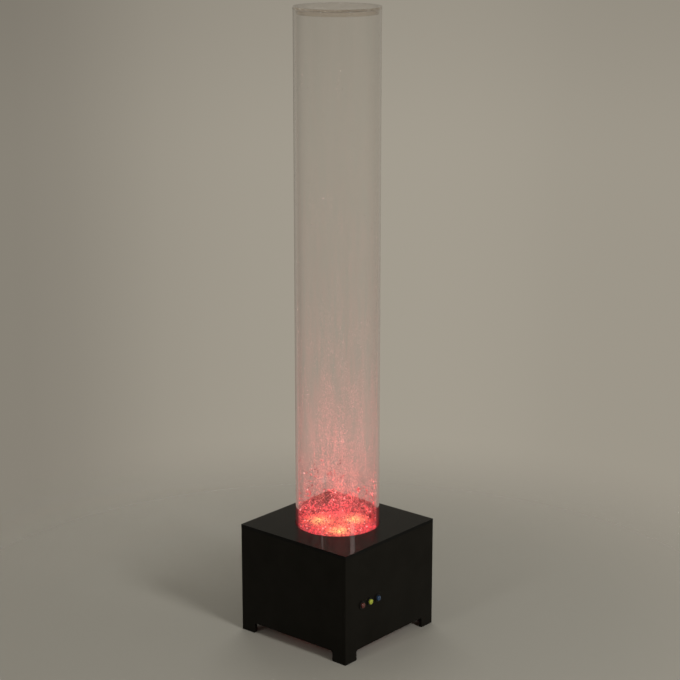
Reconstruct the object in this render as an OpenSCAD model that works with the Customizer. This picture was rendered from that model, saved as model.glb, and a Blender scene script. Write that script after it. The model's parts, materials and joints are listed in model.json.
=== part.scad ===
// Bubble tube floor lamp: a clear tube of wind-blown beads on a square black base.
// Origin at the centre of the base on the floor, +Z up, the push buttons on the -Y face.

/* [Tube] */
// Outside diameter of the clear tube
tube_d = 150; // [140:1:160]
// Wall thickness of the clear tube
tube_wall = 5; // [4:0.5:6]
// Height of the tube and its lid above the deck
tube_rise = 909; // [600:1:1200]
// Depth of the tube's lower end below the top of the deck
tube_sink = 33; // [33:1:36]
// Thickness of the lid disc
lid_t = 4; // [3:0.5:6]

/* [Base] */
// Width and depth of the square base
base_side = 243; // [240:1:300]
// Height of the base with its feet
base_h = 201; // [200:1:240]
// Thickness of the side panels and the deck
panel_t = 6; // [5:0.5:8]
// Width of each corner foot, seen on a face
foot_w = 30; // [27:1:40]
// Height of the cut-out between the feet
foot_h = 19; // [16:1:22]
// Radius of the cut-out's upper corners
foot_r = 4; // [2:0.5:5]
// Radius of the feet's lower corners
toe_r = 1.5; // [1:0.5:4]
// How far the rubber strips stand out below the panels
pad_proud = 0.5; // [0.5:0.1:1]

/* [Buttons] */
// X of the first button, towards the front corner
button_x = -78; // [-84:1:-74]
// Distance between two buttons
button_pitch = 21.2; // [20:0.1:24]
// Height of the buttons above the floor
button_z = 99; // [80:1:120]
// Diameter of a button's coloured cap
cap_d = 9; // [8.6:0.1:10]
// How far a button travels when it is pressed
button_travel = 1.5; // [1:0.1:1.5]

/* [Fan and light] */
// Width of the square fan frame
fan_w = 120; // [120:1:122]
// Distance between two of the fan's screw holes
fan_holes = 105; // [104:0.5:105]
// Radius of the circle on which the LEDs sit
led_r = 36; // [34:1:38]

/* [Back] */
// Height of the inlet jack and the switch above the floor
back_z = 60; // [50:1:80]
// Distance of the jack and of the switch from the middle of the back
back_x = 60; // [50:1:70]

/* [Hidden] */

$fn = 96;
small_fn = 32;      // screws, pins and other small round parts
slack = 0.4;        // gap around pieces that drop into one another
fit = 0.05;         // radial clearance of a running fit
eps = 0.01;         // overlap of two joined solids
over = 1;           // overshoot of a cut
screw_r = 1.75;     // screws of the socket and the bottom plate
thin_screw_r = 1.5; // screws of the duct and the control board
led_screw_r = 1.25; // screws of the light's board

half = base_side / 2;
inner = half - panel_t;
deck_z = base_h - panel_t;
tube_r = tube_d / 2;
bore_r = tube_r - tube_wall;
total_h = base_h + tube_rise;
lid_z = total_h - lid_t;
tube_z = base_h - tube_sink;
hole_r = tube_r + slack;

// Socket, bed and duct, from the tube's lower end down
seal_t = 2;
socket_wall = 5;
socket_floor_t = 4;
socket_flange_t = 5;
socket_flange_r = 95;
socket_screw_ring = 88;
socket_screw_l = 9;
socket_floor_top = tube_z - seal_t;
socket_floor_z = socket_floor_top - socket_floor_t;
ring_r = bore_r - slack;
ring_wall = 7.5;
mesh_t = 1;
bed_t = 5.5;
bed_drop = 3.5;
bed_top = base_h - bed_drop;
mesh_z = bed_top - bed_t - mesh_t;
duct_r = 57.5;
duct_wall = 2.5;
duct_flange_t = 4;
duct_h = 36;
duct_z = socket_floor_z - duct_h;
duct_screw_ring = 71;
duct_screw_l = 7;

// Fan
fan_t = 25;
fan_z = duct_z - fan_t;
fan_hole_r = 2.15;
fan_flange_t = 4;
fan_corner_r = 6;
blade_r = 56;
hub_r = 20;
blade_count = 7;
blade_tilt = 38;
plate_t = 3;
guard_t = 2;
guard_wire = 2;
fan_screw_r = 2;
fan_nut_t = 3.2;
shaft_r = 1.5;
sleeve_r = 4;
sleeve_wall = 1.5;
sleeve_h = 16;
strut_w = 5;

// LED board
spider_z = duct_z + 12;
spider_t = 3;
spider_w = 8;
led_spacer_h = 3;
led_board_z = spider_z + spider_t + led_spacer_h;
led_board_t = 1.6;
led_board_w = 18;
led_chip_t = 1.2;
led_chip_w = 5;
led_count = 3;
led_turn = 225;      // direction of the first LED, clear of the board's screws
lens_r = 4;

// Bottom plate, battens and control board
plate_z = 24;
bottom_t = 5;
post_w = 22;
batten_w = 14;
batten_l = 160;
bottom_screw_l = 14;
slot_count = 7;
slot_l = 100;
slot_w = 5;
slot_pitch = 12;
slot_y = -15;        // lower edge of the first slot
board_z = plate_z + bottom_t + 8;
board_w = 100;
board_d = 52;
board_y = -80;
board_t = 1.6;
board_inset = 4;    // from the board's edge to its screws

// Buttons
bezel_r = 7;
bezel_t = 2;
cap_proud = 4;
barrel_r = 6;
barrel_l = 18;
cap_l = 10.5;
cap_dome = 1.5;
spring_r = 3.2;
spring_wire = 0.35;
barrel_floor = 11;
tab_l = 6;
tab_x = 2.5;
nut_t = 2.5;
button_colors = ["#b3302a", "#d6dc2a", "#2a48b8"];

// Jack and switch
jack_r = 5.5;
jack_l = 16;
switch_w = 15;
switch_h = 21;
switch_body_w = 12.6;
switch_body_h = 18.6;
switch_l = 18;
switch_tab_l = 7;
switch_tab_z = 5;
switch_tab_y = half - switch_l - switch_tab_l;
pivot_y = half - 1.5;
pivot_tilt = 10;
pin_r = 1;
flange_t = 2;

// Wires
wire_r = 1.2;
led_lead_r = 1.1;
jumper_r = 0.8;

black = "#161412";
gloss = "#2a2926";
steel = "#b9bcc0";
clear = [0.86, 0.9, 0.92, 0.35];
tinted = [0.78, 0.7, 0.64, 0.45];

// ---- helpers ----------------------------------------------------------------

// Tube with a given height, outer radius and inner radius.
module ring(h, r_out, r_in) {
    difference() {
        cylinder(h = h, r = r_out);
        translate([0, 0, -over]) cylinder(h = h + 2 * over, r = r_in);
    }
}

// Rounded square outline, centred.
module rounded_square(w, r) {
    square([w - 2 * r, w], center = true);
    square([w, w - 2 * r], center = true);
    for (sx = [-1, 1], sy = [-1, 1])
        translate([sx * (w / 2 - r), sy * (w / 2 - r)]) circle(r = r, $fn = small_fn);
}

// Children at the four corners of a square of the given half side.
module at_corners(h) {
    for (sx = [-1, 1], sy = [-1, 1]) translate([sx * h, sy * h, 0]) children();
}

// Children repeated evenly around the Z axis on a circle.
module around(count, r, start = 0) {
    for (i = [0 : count - 1]) rotate([0, 0, start + i * 360 / count]) translate([r, 0, 0]) children();
}

// Screw pointing up: a pan head whose shank starts at z = 0.
module screw_up(r, length, head_r, head_t) {
    $fn = small_fn;
    difference() {
        union() {
            translate([0, 0, -head_t]) cylinder(h = head_t, r = head_r);
            translate([0, 0, -eps]) cylinder(h = length + eps, r = r);
        }
        translate([0, 0, -head_t - over]) cylinder(h = over + head_t * 0.6, r = head_r * 0.5, $fn = 6);
    }
}

// Children turned so that their +Z runs along +Y.
module along_y() {
    rotate([-90, 0, 0]) children();
}

// ---- base -------------------------------------------------------------------

// Points of an arc around c.
function arc(c, r, from, to, n = 8) =
    [for (k = [0 : n]) let (a = from + (to - from) * k / n) c + r * [cos(a), sin(a)]];

// Outline of a side panel of width w, in X and Z, with its two feet.
module panel_outline(w, foot) {
    cut = w / 2 - foot;
    low = pad_proud + toe_r;
    high = foot_h - foot_r;
    polygon(concat(
        [[-w / 2, pad_proud]],
        arc([-cut - toe_r, low], toe_r, -90, 0),
        arc([-cut + foot_r, high], foot_r, 180, 90),
        arc([cut - foot_r, high], foot_r, 90, 0),
        arc([cut + toe_r, low], toe_r, 180, 270),
        [[w / 2, pad_proud], [w / 2, deck_z], [-w / 2, deck_z]]));
}

// Panel in the XZ plane, its outer face at y = -half.
module wall_panel(w, foot) {
    translate([0, -inner, 0]) rotate([90, 0, 0]) linear_extrude(height = panel_t) panel_outline(w, foot);
}

module front_panel() {
    color(black) difference() {
        wall_panel(base_side, foot_w);
        for (i = [0 : 2]) at_button(i)
            translate([0, 0, -over]) cylinder(h = panel_t + 2 * over, r = barrel_r, $fn = 48);
    }
}

module back_panel() {
    color(black) difference() {
        rotate([0, 0, 180]) wall_panel(base_side, foot_w);
        at_back(-back_x) translate([0, 0, -over]) cylinder(h = panel_t + 2 * over, r = jack_r, $fn = 48);
        translate([back_x - switch_body_w / 2, inner - over, back_z - switch_body_h / 2])
            cube([switch_body_w, panel_t + 2 * over, switch_body_h]);
    }
}

module left_panel() {
    color(black) rotate([0, 0, -90]) wall_panel(2 * inner, foot_w - panel_t);
}

module right_panel() {
    color(black) rotate([0, 0, 90]) wall_panel(2 * inner, foot_w - panel_t);
}

module deck_panel() {
    color(gloss) difference() {
        translate([-half, -half, deck_z]) cube([base_side, base_side, panel_t]);
        translate([0, 0, deck_z - over]) cylinder(h = panel_t + 2 * over, r = hole_r);
        around(6, socket_screw_ring, 30) translate([0, 0, deck_z - over])
            cylinder(h = over + socket_screw_l - socket_flange_t + slack, r = screw_r, $fn = small_fn);
    }
}

// Post in the corner given by two signs, from the bottom plate's level up to the deck.
module corner_post(sx, sy) {
    c = inner - post_w / 2;
    color(black) translate([sx * c - post_w / 2, sy * c - post_w / 2, plate_z])
        cube([post_w, post_w, deck_z - plate_z]);
}

module front_left_post() { corner_post(-1, -1); }
module front_right_post() { corner_post(1, -1); }
module back_left_post() { corner_post(-1, 1); }
module back_right_post() { corner_post(1, 1); }

// Rubber strips under the feet, a long and a short one at each corner.
module foot_pads() {
    pad_l = foot_w - toe_r;
    color("#33312e") for (a = [0 : 90 : 270]) rotate([0, 0, a]) {
        translate([half - pad_l, inner, 0]) cube([pad_l, panel_t, pad_proud]);
        translate([inner, half - pad_l, 0]) cube([panel_t, pad_l - panel_t - slack, pad_proud]);
    }
}

// Places of the screws that hold the bottom plate to the battens.
module at_bottom_screws() {
    for (sx = [-1, 1], y = [-60, 0, 60]) translate([sx * (inner - batten_w / 2), y, 0]) children();
}

module bottom_plate() {
    side = 2 * inner - 2 * slack;
    color(black) difference() {
        translate([-side / 2, -side / 2, plate_z]) cube([side, side, bottom_t]);
        at_corners(inner - post_w / 2)
            translate([-post_w / 2 - slack, -post_w / 2 - slack, plate_z - over])
                cube([post_w + 2 * slack, post_w + 2 * slack, bottom_t + 2 * over]);
        for (i = [0 : slot_count - 1])
            translate([-slot_l / 2, slot_y + i * slot_pitch, plate_z - over])
                cube([slot_l, slot_w, bottom_t + 2 * over]);
        at_bottom_screws() translate([0, 0, plate_z - over])
            cylinder(h = bottom_t + 2 * over, r = screw_r, $fn = small_fn);
        at_board_screws() translate([0, 0, plate_z - over])
            cylinder(h = bottom_t + 2 * over, r = thin_screw_r, $fn = small_fn);
    }
}

module batten(sx) {
    color(black) difference() {
        translate([sx * (inner - batten_w / 2) - batten_w / 2, -batten_l / 2, plate_z + bottom_t])
            cube([batten_w, batten_l, batten_w]);
        at_bottom_screws() translate([0, 0, plate_z])
            cylinder(h = bottom_screw_l, r = screw_r, $fn = small_fn);
    }
}

module left_batten() { batten(-1); }
module right_batten() { batten(1); }

module bottom_screws() {
    color(steel) at_bottom_screws() translate([0, 0, plate_z]) screw_up(screw_r, bottom_screw_l, 3.5, 2);
}

// ---- tube, lid and bed ------------------------------------------------------

module acrylic_tube() {
    color(clear) translate([0, 0, tube_z]) ring(lid_z - tube_z, tube_r, bore_r);
}

module lid_disc() {
    vent_r = 0.8;
    color(tinted) difference() {
        translate([0, 0, lid_z]) cylinder(h = lid_t, r = tube_r);
        for (k = [1 : 3]) around(6 * k, 15 * k)
            translate([0, 0, lid_z - over]) cylinder(h = lid_t + 2 * over, r = vent_r, $fn = 16);
    }
}

module lid_ring() {
    lip_h = 8;
    lip_wall = 4;
    color(tinted) translate([0, 0, lid_z - lip_h]) ring(lip_h, ring_r, ring_r - lip_wall);
}

module tube_socket() {
    color(black) difference() {
        union() {
            translate([0, 0, socket_floor_z])
                ring(deck_z - socket_floor_z, hole_r + socket_wall, hole_r);
            translate([0, 0, deck_z - socket_flange_t]) ring(socket_flange_t, socket_flange_r, hole_r);
            translate([0, 0, socket_floor_z]) ring(socket_floor_t, hole_r + socket_wall, duct_r);
        }
        around(6, socket_screw_ring, 30) translate([0, 0, deck_z - socket_flange_t - over])
            cylinder(h = socket_flange_t + 2 * over, r = screw_r, $fn = small_fn);
        around(6, duct_screw_ring) translate([0, 0, socket_floor_z - over])
            cylinder(h = over + duct_screw_l - duct_flange_t, r = thin_screw_r, $fn = small_fn);
    }
}

module socket_screws() {
    color(steel) around(6, socket_screw_ring, 30)
        translate([0, 0, deck_z - socket_flange_t]) screw_up(screw_r, socket_screw_l, 3.2, 2);
}

module seal_ring() {
    color("#4a4642") translate([0, 0, socket_floor_top]) ring(seal_t, tube_r, bore_r - slack / 2);
}

module spacer_ring() {
    color("white") translate([0, 0, socket_floor_top])
        ring(mesh_z - socket_floor_top, ring_r - slack, ring_r - ring_wall);
}

module mesh_floor() {
    color("#d8d8d4") translate([0, 0, mesh_z]) cylinder(h = mesh_t, r = ring_r);
}

module bead_bed() {
    color("#ff6a5a") translate([0, 0, mesh_z + mesh_t]) cylinder(h = bed_t, r = ring_r);
}

// ---- duct and light ---------------------------------------------------------

module at_led_screws() {
    around(4, led_r) children();
}

module air_duct() {
    top = socket_floor_z - duct_flange_t;
    color("#1d1d1f") difference() {
        union() {
            translate([0, 0, duct_z]) linear_extrude(height = duct_flange_t) difference() {
                rounded_square(fan_w, fan_corner_r);
                circle(r = duct_r);
            }
            translate([0, 0, duct_z]) ring(duct_h, duct_r + duct_wall, duct_r);
            translate([0, 0, top]) ring(duct_flange_t, duct_screw_ring + 5, duct_r);
            for (a = [0, 90]) rotate([0, 0, a]) translate([-duct_r - 1, -spider_w / 2, spider_z])
                cube([2 * duct_r + 2, spider_w, spider_t]);
        }
        at_corners(fan_holes / 2) translate([0, 0, duct_z - over])
            cylinder(h = duct_flange_t + 2 * over, r = fan_hole_r, $fn = small_fn);
        around(6, duct_screw_ring) translate([0, 0, top - over])
            cylinder(h = duct_flange_t + 2 * over, r = thin_screw_r + fit, $fn = small_fn);
        at_led_screws() translate([0, 0, spider_z - over])
            cylinder(h = spider_t + 2 * over, r = led_screw_r, $fn = small_fn);
        // way out for the light's lead
        translate([0, -duct_r - duct_wall / 2, led_board_z + led_board_t / 2]) rotate([90, 0, 0])
            cylinder(h = duct_wall + 4, r = 2 * led_lead_r, center = true, $fn = small_fn);
    }
}

module duct_screws() {
    color(steel) around(6, duct_screw_ring)
        translate([0, 0, socket_floor_z - duct_flange_t]) screw_up(thin_screw_r, duct_screw_l, 2.8, 1.8);
}

module led_board() {
    color("#e8e8e2") translate([0, 0, led_board_z]) difference() {
        ring(led_board_t, led_r + led_board_w / 2, led_r - led_board_w / 2);
        at_led_screws() translate([0, 0, -over])
            cylinder(h = led_board_t + 2 * over, r = led_screw_r, $fn = small_fn);
    }
}

module led_spacers() {
    color("#d8d4c6") at_led_screws()
        translate([0, 0, spider_z + spider_t]) ring(led_spacer_h, 2.8, led_screw_r, $fn = small_fn);
}

module led_screws() {
    color(steel) at_led_screws() translate([0, 0, led_board_z + led_board_t]) mirror([0, 0, 1])
        screw_up(led_screw_r, led_board_z + led_board_t - spider_z, 2.4, 1.5);
}

module at_leds() {
    around(led_count, led_r, led_turn) children();
}

module led_chips() {
    color("#f4f0d0") at_leds()
        translate([-led_chip_w / 2, -led_chip_w / 2, led_board_z + led_board_t])
            cube([led_chip_w, led_chip_w, led_chip_t]);
}

module led_lenses() {
    color([1, 0.5, 0.45, 0.6]) at_leds() translate([0, 0, led_board_z + led_board_t + led_chip_t])
        intersection() {
            sphere(r = lens_r, $fn = 48);
            cylinder(h = lens_r, r = lens_r + 1, $fn = 48);
        }
}

// ---- fan --------------------------------------------------------------------

module fan_frame() {
    color("#1d1d1f") translate([0, 0, fan_z]) difference() {
        union() {
            difference() {
                union() {
                    for (z = [0, fan_t - fan_flange_t]) translate([0, 0, z])
                        linear_extrude(height = fan_flange_t) rounded_square(fan_w, fan_corner_r);
                    cylinder(h = fan_t, r = duct_r + duct_wall - 0.1);
                }
                translate([0, 0, -over]) cylinder(h = fan_t + 2 * over, r = duct_r);
            }
            cylinder(h = plate_t, r = hub_r);
            for (a = [45 : 90 : 315]) rotate([0, 0, a])
                translate([hub_r - 2, -strut_w / 2, 0]) cube([duct_r - hub_r + 3, strut_w, plate_t]);
            cylinder(h = sleeve_h, r = sleeve_r + sleeve_wall, $fn = 48);
        }
        translate([0, 0, plate_t]) cylinder(h = fan_t, r = sleeve_r, $fn = 48);
        at_corners(fan_holes / 2) translate([0, 0, -over])
            cylinder(h = fan_t + 2 * over, r = fan_hole_r, $fn = small_fn);
    }
}

module fan_bearing() {
    color("#b08d57") translate([0, 0, fan_z + plate_t])
        ring(sleeve_h - plate_t, sleeve_r, shaft_r + fit, $fn = 48);
}

module fan_stator() {
    stator_r = 14;
    stator_h = 9;
    color("#9a5a2c") translate([0, 0, fan_z + plate_t + 1])
        ring(stator_h, stator_r, sleeve_r + sleeve_wall, $fn = 48);
}

module fan_rotor() {
    hub_z = plate_t + 1.5;
    hub_h = 18;
    hub_wall = 3;
    blade_t = 1.6;
    blade_w = 30;
    color("#222224") translate([0, 0, fan_z]) difference() {
        union() {
            translate([0, 0, hub_z]) cylinder(h = hub_h, r = hub_r);
            for (i = [0 : blade_count - 1]) rotate([0, 0, i * 360 / blade_count])
                intersection() {
                    translate([0, 0, hub_z + 0.5]) ring(hub_h - 1, blade_r, hub_r - 1);
                    translate([hub_r - 2, 0, hub_z + hub_h / 2]) rotate([blade_tilt, 0, 0])
                        translate([0, -blade_w / 2, -blade_t / 2]) cube([blade_r, blade_w, blade_t]);
                }
        }
        translate([0, 0, hub_z - over]) cylinder(h = hub_h - hub_wall + over, r = hub_r - hub_wall);
        translate([0, 0, hub_z]) cylinder(h = hub_h + 1, r = shaft_r, $fn = small_fn);
    }
}

module fan_shaft() {
    shaft_l = 19;
    color(steel) translate([0, 0, fan_z + plate_t + 0.5]) cylinder(h = shaft_l, r = shaft_r, $fn = small_fn);
}

module fan_guard() {
    color("#1d1d1f") translate([0, 0, fan_z - guard_t]) linear_extrude(height = guard_t) difference() {
        union() {
            for (r = [12 : 12 : 48]) difference() {
                circle(r = r + guard_wire / 2);
                circle(r = r - guard_wire / 2);
            }
            difference() {
                rounded_square(fan_w, fan_corner_r);
                circle(r = duct_r);
            }
            for (a = [45, 135]) rotate([0, 0, a]) square([2 * duct_r + 2, 1.5 * guard_wire], center = true);
        }
        at_corners(fan_holes / 2) circle(r = fan_hole_r, $fn = small_fn);
    }
}

module fan_screws() {
    length = guard_t + fan_t + duct_flange_t + fan_nut_t + 1;
    color(steel) at_corners(fan_holes / 2)
        translate([0, 0, fan_z - guard_t]) screw_up(fan_screw_r, length, 3.6, 2.4);
}

module fan_nuts() {
    color(steel) at_corners(fan_holes / 2) translate([0, 0, duct_z + duct_flange_t]) difference() {
        cylinder(h = fan_nut_t, r = 2 * fan_screw_r, $fn = 6);
        translate([0, 0, -over]) cylinder(h = fan_nut_t + 2 * over, r = fan_screw_r, $fn = small_fn);
    }
}

// ---- buttons ----------------------------------------------------------------

// Children with +Z pointing into the base, z = 0 on the outer face of the front panel.
module at_button(i) {
    translate([button_x + i * button_pitch, -half, button_z]) along_y() children();
}

// Cap with a domed face, from its face down to its flat end.
module button_cap(i) {
    cap_r = cap_d / 2;
    dome_r = (cap_r * cap_r + cap_dome * cap_dome) / (2 * cap_dome);
    dome_a = asin(cap_r / dome_r);
    face_z = -bezel_t - cap_proud;
    color(button_colors[i]) at_button(i) rotate_extrude($fn = 48) polygon(concat(
        [[0, face_z + cap_l], [cap_r, face_z + cap_l]],
        [for (k = [8 : -1 : 0]) let (a = dome_a * k / 8)
            [dome_r * sin(a), face_z + dome_r * (1 - cos(a))]]));
}

module red_button_cap() { button_cap(0); }
module yellow_button_cap() { button_cap(1); }
module blue_button_cap() { button_cap(2); }

module button_body(i) {
    color("#1a1a1a") at_button(i) difference() {
        union() {
            translate([0, 0, -bezel_t]) cylinder(h = bezel_t, r = bezel_r, $fn = 48);
            translate([0, 0, -eps]) cylinder(h = barrel_l, r = barrel_r, $fn = 48);
            for (s = [-1, 1]) translate([s * tab_x - 0.4, -1.2, barrel_l - 1]) cube([0.8, 2.4, tab_l + 1]);
        }
        translate([0, 0, -bezel_t - over])
            cylinder(h = bezel_t + over + barrel_floor, r = cap_d / 2 + fit, $fn = 48);
    }
}

module red_button_body() { button_body(0); }
module yellow_button_body() { button_body(1); }
module blue_button_body() { button_body(2); }

module button_nuts() {
    color("#1a1a1a") for (i = [0 : 2]) at_button(i) translate([0, 0, panel_t]) difference() {
        cylinder(h = nut_t, r = barrel_r + 2.5, $fn = 6);
        translate([0, 0, -over]) cylinder(h = nut_t + 2 * over, r = barrel_r, $fn = 48);
    }
}

// One return spring per button between cap and barrel, drawn at its pressed length.
module button_springs() {
    turns = 3;
    steps = 10;
    low = cap_l - bezel_t - cap_proud + button_travel + slack;
    high = barrel_floor - spring_wire;
    coil = [for (k = [0 : turns * steps]) let (a = 360 * k / steps)
        [spring_r * cos(a), spring_r * sin(a), low + (high - low) * k / (turns * steps)]];
    color(steel) for (i = [0 : 2]) at_button(i) sweep(coil, spring_wire, 6);
}

// ---- control board ----------------------------------------------------------

module at_board_screws() {
    x = board_w / 2 - board_inset;
    y = board_d / 2 - board_inset;
    for (sx = [-1, 1], sy = [-1, 1]) translate([sx * x, board_y + sy * y, 0]) children();
}

module control_board() {
    color("#1f5a36") difference() {
        translate([-board_w / 2, board_y - board_d / 2, board_z]) cube([board_w, board_d, board_t]);
        at_board_screws() translate([0, 0, board_z - over])
            cylinder(h = board_t + 2 * over, r = thin_screw_r, $fn = small_fn);
    }
}

// Headers on the board where the four leads plug in.
connector_x = [-34, -12, 12, 34];
connector_h = 7;
connector_w = 10;
connector_d = 6;
plug_y = board_y + board_d / 2 - 11;
plug_z = board_z + board_t + connector_h;

module board_connectors() {
    color("#efece0") for (x = connector_x)
        translate([x - connector_w / 2, plug_y - connector_d / 2, board_z + board_t])
            cube([connector_w, connector_d, connector_h]);
}

module driver_chip() {
    color("#18181a") translate([-9, board_y - 14, board_z + board_t]) cube([18, 10, 2.2]);
}

module board_standoffs() {
    color("#c9a84c") at_board_screws() translate([0, 0, plate_z + bottom_t])
        ring(board_z - plate_z - bottom_t, 2 * thin_screw_r, thin_screw_r, $fn = small_fn);
}

module board_screws() {
    color(steel) at_board_screws() {
        translate([0, 0, board_z + board_t]) mirror([0, 0, 1])
            screw_up(thin_screw_r, board_z + board_t - plate_z - bottom_t + 3, 2.8, 1.8);
    }
}

// ---- inlet jack and switch --------------------------------------------------

// Children with +Z pointing into the base, z = 0 on the outer face of the back panel.
module at_back(x) {
    translate([x, half, back_z]) rotate([90, 0, 0]) children();
}

module inlet_jack() {
    socket_l = 9;
    color("#1a1a1a") at_back(-back_x) union() {
        difference() {
            union() {
                translate([0, 0, -flange_t]) cylinder(h = flange_t, r = jack_r + 1.5, $fn = 48);
                translate([0, 0, -eps]) cylinder(h = jack_l, r = jack_r, $fn = 48);
            }
            translate([0, 0, -flange_t - over]) cylinder(h = flange_t + over + socket_l, r = 2.8, $fn = 48);
        }
        translate([0, 0, -1]) cylinder(h = socket_l + 2, r = 1, $fn = small_fn);
    }
}

module inlet_nut() {
    color(steel) at_back(-back_x) translate([0, 0, panel_t]) difference() {
        cylinder(h = nut_t, r = jack_r + 2.5, $fn = 6);
        translate([0, 0, -over]) cylinder(h = nut_t + 2 * over, r = jack_r, $fn = 48);
    }
}

module switch_frame() {
    cavity_w = 9.6;
    cavity_h = 16;
    color("#1a1a1a") difference() {
        union() {
            translate([back_x - switch_w / 2, half, back_z - switch_h / 2])
                cube([switch_w, flange_t, switch_h]);
            translate([back_x - switch_body_w / 2, half - switch_l, back_z - switch_body_h / 2])
                cube([switch_body_w, switch_l, switch_body_h]);
            for (s = [-1, 1]) translate([back_x - 2.4, switch_tab_y, back_z + s * switch_tab_z - 0.4])
                cube([4.8, switch_tab_l + 1, 0.8]);
        }
        translate([back_x - cavity_w / 2, pivot_y - 8, back_z - cavity_h / 2]) cube([cavity_w, 20, cavity_h]);
        translate([back_x, pivot_y, back_z]) rotate([0, 90, 0])
            cylinder(h = switch_body_w + 2, r = pin_r, center = true, $fn = small_fn);
    }
}

module switch_paddle() {
    paddle_w = 9;
    color("#c9302a") translate([back_x, pivot_y, back_z]) rotate([pivot_tilt, 0, 0]) difference() {
        rotate([90, 0, 90]) linear_extrude(height = paddle_w, center = true)
            polygon([[0, -6.9], [4.9, -6.9], [3.7, 0], [4.9, 6.9], [0, 6.9], [-4.5, 3], [-4.5, -3]]);
        rotate([0, 90, 0]) cylinder(h = paddle_w + 2, r = pin_r + fit, center = true, $fn = small_fn);
    }
}

module switch_pin() {
    color(steel) translate([back_x, pivot_y, back_z]) rotate([0, 90, 0])
        cylinder(h = switch_body_w, r = pin_r, center = true, $fn = small_fn);
}

// ---- leads ------------------------------------------------------------------

// Smooth way through hand-picked points.
function bend(p0, p1, p2, p3, t) = 0.5 * (2 * p1 + (p2 - p0) * t
    + (2 * p0 - 5 * p1 + 4 * p2 - p3) * t * t + (3 * p1 - p0 - 3 * p2 + p3) * t * t * t);
function way(p, n) = concat([for (i = [0 : len(p) - 2], k = [0 : n - 1])
    bend(p[max(i - 1, 0)], p[i], p[i + 1], p[min(i + 2, len(p) - 1)], k / n)], [p[len(p) - 1]]);
function unit(v) = v / norm(v);
function heading(p, i) = unit(p[min(i + 1, len(p) - 1)] - p[max(i - 1, 0)]);
// First side vector, then each one kept at right angles to the heading.
function carry(v, h) = unit(v - (v * h) * h);
function sides(p, i = 0, v = [0.31, 0.17, 0.93]) = i == len(p) ? []
    : let (s = carry(v, heading(p, i))) concat([s], sides(p, i + 1, s));

// Round wire of radius r swept along the points of p.
module sweep(p, r, sides_n = 8) {
    s = sides(p);
    rings = [for (i = [0 : len(p) - 1], k = [0 : sides_n - 1])
        let (a = 360 * k / sides_n, h = heading(p, i))
            p[i] + r * (cos(a) * s[i] + sin(a) * cross(h, s[i]))];
    last = (len(p) - 1) * sides_n;
    faces = concat(
        [[for (k = [0 : sides_n - 1]) k]],
        [[for (k = [0 : sides_n - 1]) last + sides_n - 1 - k]],
        [for (i = [0 : len(p) - 2], k = [0 : sides_n - 1]) let (m = (k + 1) % sides_n)
            [i * sides_n + m, i * sides_n + k, (i + 1) * sides_n + k, (i + 1) * sides_n + m]]);
    polyhedron(points = rings, faces = faces);
}

// Lead that runs smoothly through a few points.
module lead(points, r) { sweep(way(points, 4), r); }

// End of a button's solder tab, on the side given by s.
function tab_end(i, s) = [button_x + i * button_pitch + s * tab_x, -half + barrel_l + tab_l, button_z];

// Lead from the board to the middle button, with a jumper to each of its neighbours.
module button_lead() {
    x = connector_x[0];
    color("#b9b4a4") {
        lead([[x, plug_y, plug_z], [x, plug_y, 60], [-40, -74, 84], [-56, -84, 99],
            tab_end(1, 1) + [0, 6, 0], tab_end(1, 1)], wire_r);
        for (i = [0, 1]) lead([tab_end(i, 1), tab_end(i, 1) + [0, 5, 0],
            (tab_end(i, 1) + tab_end(i + 1, -1)) / 2 + [0, 9, -4], tab_end(i + 1, -1) + [0, 5, 0],
            tab_end(i + 1, -1)], jumper_r);
    }
}

module led_lead() {
    x = connector_x[2];
    z = led_board_z + led_board_t / 2;
    color("#a8322c") lead([[x, plug_y, plug_z], [x, plug_y, 62], [8, -68, 80], [2, -72, 110],
        [0, -70, 136], [0, -62, z], [0, -52, z], [0, -led_r - led_board_w / 2, z]], led_lead_r);
}

module fan_lead() {
    x = connector_x[1];
    z = fan_z + fan_t / 2;
    color("#3a3a3c") lead([[x, plug_y, plug_z], [x, plug_y, 58], [-18, -68, 74], [-16, -72, 96],
        [x, -68, z - 2], [x, -64, z], [x, -59, z]], led_lead_r);
}

// Two wires: board to switch, and switch to inlet jack.
module power_lead() {
    upper = back_z + switch_tab_z;
    lower = back_z - switch_tab_z;
    x = connector_x[3];
    color("#2c2c2e") {
        lead([[x, plug_y, plug_z], [x, plug_y, 58], [60, -30, 50], [76, 20, 50], [74, 62, 58],
            [62, 84, upper], [back_x, 90, upper], [back_x, switch_tab_y, upper]], wire_r);
        lead([[-back_x, half - jack_l, back_z], [-back_x, half - jack_l - 8, back_z], [-40, 86, 56],
            [0, 80, 50], [40, 82, 52], [back_x, 88, lower], [back_x, switch_tab_y, lower]], wire_r);
    }
}

front_panel();
back_panel();
left_panel();
right_panel();
deck_panel();
front_left_post();
front_right_post();
back_left_post();
back_right_post();
foot_pads();
bottom_plate();
left_batten();
right_batten();
bottom_screws();
acrylic_tube();
lid_disc();
lid_ring();
tube_socket();
socket_screws();
seal_ring();
spacer_ring();
mesh_floor();
bead_bed();
air_duct();
duct_screws();
led_board();
led_spacers();
led_screws();
led_chips();
led_lenses();
fan_frame();
fan_bearing();
fan_stator();
fan_rotor();
fan_shaft();
fan_guard();
fan_screws();
fan_nuts();
red_button_cap();
yellow_button_cap();
blue_button_cap();
red_button_body();
yellow_button_body();
blue_button_body();
button_nuts();
button_springs();
control_board();
board_connectors();
driver_chip();
board_standoffs();
board_screws();
inlet_jack();
inlet_nut();
switch_frame();
switch_paddle();
switch_pin();
button_lead();
led_lead();
fan_lead();
power_lead();
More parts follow.
